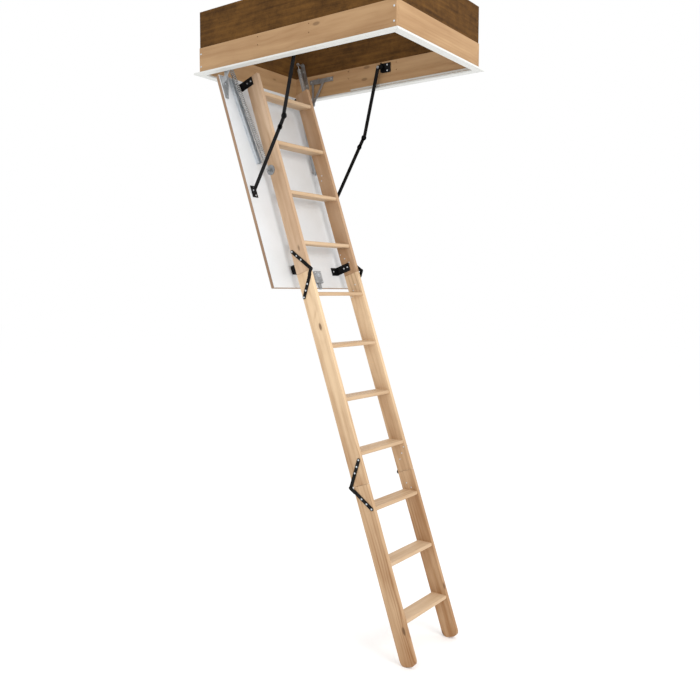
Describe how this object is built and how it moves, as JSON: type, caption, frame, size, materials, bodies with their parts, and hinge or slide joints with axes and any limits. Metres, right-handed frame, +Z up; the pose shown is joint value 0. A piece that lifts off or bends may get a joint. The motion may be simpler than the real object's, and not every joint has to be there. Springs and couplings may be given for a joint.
{
  "type": "folding attic ladder",
  "caption": "Folding timber attic ladder on an insulated hatch, with a lined ceiling casing, swing levers, elbow arms and springs.",
  "frame": {"origin": "middle of the casing opening at the ceiling line, where the casing boards meet the back of the trim", "axes": "+X along the opening from the hinge end to the free end, +Y across it, +Z up into the attic"},
  "size_m": [1.14, 0.74, 2.9229],
  "materials": {
    "ladder_wood": "smooth planed timber",
    "casing_wood": "light planed board",
    "surround_wood": "dark stained board",
    "trim_white": "satin white",
    "panel_grey": "satin light grey face",
    "panel_white": "satin white face",
    "frame_wood": "raw timber edge",
    "insulation": "foam board",
    "zinc_steel": "bright zinc plate",
    "black_steel": "black powder coat",
    "spring_steel": "zinc plated spring steel",
    "seal_rubber": "pale soft foam rubber"
  },
  "bodies": {
    "casing": {"casing_left_board": "casing_wood", "casing_right_board": "casing_wood", "casing_hinge_board": "casing_wood", "casing_front_board": "casing_wood", "trim_left": "trim_white", "trim_right": "trim_white", "trim_hinge_end": "trim_white", "trim_front": "trim_white", "surround_boards": "surround_wood", "casing_seal": "seal_rubber", "frame_screws": "zinc_steel", "hinge_plates": "zinc_steel", "spring_posts": "zinc_steel", "arm_frame_brackets": "black_steel", "frame_pivot_pins": "zinc_steel", "strike_plate": "zinc_steel"},
    "swing_levers": {"swing_levers": "zinc_steel"},
    "hatch": {"hatch_upper_skin": "panel_grey", "hatch_lower_skin": "panel_white", "hatch_long_rails": "frame_wood", "hatch_short_rails": "frame_wood", "hatch_insulation": "insulation", "hatch_hinge_plates": "zinc_steel", "spring_channels": "zinc_steel", "top_standoffs": "black_steel", "bottom_standoffs": "black_steel", "arm_hatch_brackets": "black_steel", "hatch_pivot_pins": "zinc_steel", "spring_anchors": "zinc_steel", "lock_case": "zinc_steel", "lock_rosette": "zinc_steel", "top_left_string": "ladder_wood", "top_right_string": "ladder_wood", "tread_1": "ladder_wood", "tread_2": "ladder_wood", "tread_3": "ladder_wood", "tread_4": "ladder_wood", "upper_hinge_top_leaves": "black_steel", "hatch_screws": "zinc_steel"},
    "middle_section": {"middle_left_string": "ladder_wood", "middle_right_string": "ladder_wood", "tread_5": "ladder_wood", "tread_6": "ladder_wood", "tread_7": "ladder_wood", "tread_8": "ladder_wood", "upper_hinge_lower_leaves": "black_steel", "lower_hinge_top_leaves": "black_steel", "middle_screws": "zinc_steel"},
    "bottom_section": {"bottom_left_string": "ladder_wood", "bottom_right_string": "ladder_wood", "tread_9": "ladder_wood", "tread_10": "ladder_wood", "tread_11": "ladder_wood", "lower_hinge_lower_leaves": "black_steel", "bottom_screws": "zinc_steel"},
    "upper_elbow_arms": {"upper_elbow_arms": "black_steel"},
    "lower_elbow_arms": {"lower_elbow_arms": "black_steel"},
    "springs": {"springs": "spring_steel"},
    "lock_spindle": {"lock_spindle": "zinc_steel"},
    "lock_bolt": {"lock_bolt": "zinc_steel"}
  },
  "joints": [
    {"name": "hatch_swing", "type": "hinge", "parent": "casing", "child": "swing_levers", "pos_m": [-0.37042, 0, 0.08225], "axis": [0, 1, 0], "range_deg": [0, 48.72]},
    {"name": "hatch_turn", "type": "hinge", "parent": "swing_levers", "child": "hatch", "pos_m": [-0.40667, 0, -0.03633], "axis": [0, 1, 0], "range_deg": [-110.51, 0]},
    {"name": "upper_arm_turn", "type": "hinge", "parent": "casing", "child": "upper_elbow_arms", "pos_m": [0.01658, 0, 0.087], "axis": [0, 1, 0], "range_deg": [-108.68, 0]},
    {"name": "lower_arm_turn", "type": "hinge", "parent": "hatch", "child": "lower_elbow_arms", "pos_m": [-0.24717, 0, -0.56098], "axis": [0, 1, 0], "range_deg": [0, 89.34]},
    {"name": "spring_turn", "type": "hinge", "parent": "casing", "child": "springs", "pos_m": [-0.484, 0, 0.178], "axis": [0, 1, 0], "range_deg": [-45.02, 0], "deforming": ["springs"]},
    {"name": "ladder_fold", "type": "hinge", "parent": "hatch", "child": "middle_section", "pos_m": [-0.00013, 0, -0.91906], "axis": [0, -1, 0], "range_deg": [0, 180]},
    {"name": "bottom_fold", "type": "hinge", "parent": "middle_section", "child": "bottom_section", "pos_m": [0.2271, 0, -1.89844], "axis": [0, -1, 0], "range_deg": [-180, 0]},
    {"name": "lock_turn", "type": "hinge", "parent": "hatch", "child": "lock_spindle", "pos_m": [-0.12953, 0, -0.94564], "axis": [0.9455, 0, 0.3256], "range_deg": [0, 90.1]},
    {"name": "bolt_slide", "type": "slide", "parent": "hatch", "child": "lock_bolt", "axis": [0.3256, 0, -0.9455], "range_m": [-0.01, 0], "stiffness_N_per_m": 60}
  ],
  "couplings": [
    {"joint": "hatch_turn", "follows": "hatch_swing", "ratio": -2.2679},
    {"joint": "upper_arm_turn", "follows": "hatch_swing", "ratio": -2.2303},
    {"joint": "lower_arm_turn", "follows": "hatch_swing", "ratio": 1.8333},
    {"joint": "spring_turn", "follows": "hatch_swing", "ratio": -0.92362},
    {"joint": "bottom_fold", "follows": "ladder_fold", "ratio": -1},
    {"joint": "lock_turn", "follows": "bolt_slide", "rad_per_m": -157.08}
  ]
}
